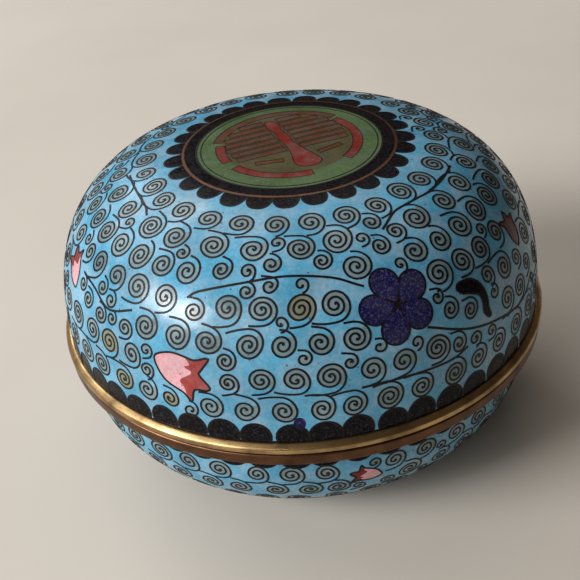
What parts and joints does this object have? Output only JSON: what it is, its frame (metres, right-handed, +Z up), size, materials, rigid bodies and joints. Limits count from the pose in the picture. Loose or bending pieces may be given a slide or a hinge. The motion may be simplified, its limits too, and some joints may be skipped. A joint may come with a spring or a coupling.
{
  "type": "cloisonne enamel box",
  "caption": "Round blue cloisonne enamel box with a domed lift-off lid, gilt brass rims, a locating flange inside the lid and a low foot ring.",
  "frame": {"origin": "centre of the foot ring's underside, on the table", "axes": "+Z up along the axis of revolution, -Y towards the side with the large flower's spray"},
  "size_m": [0.1, 0.1, 0.0635],
  "materials": {
    "enamel": "polished vitreous enamel in cloisonne wires on copper",
    "gilt_brass": "worn satin gilt"
  },
  "bodies": {
    "root": {"lid_dome": "enamel", "lid_rim": "gilt_brass", "base_bowl": "enamel", "base_rim": "gilt_brass", "foot_ring": "gilt_brass"}
  },
  "joints": []
}
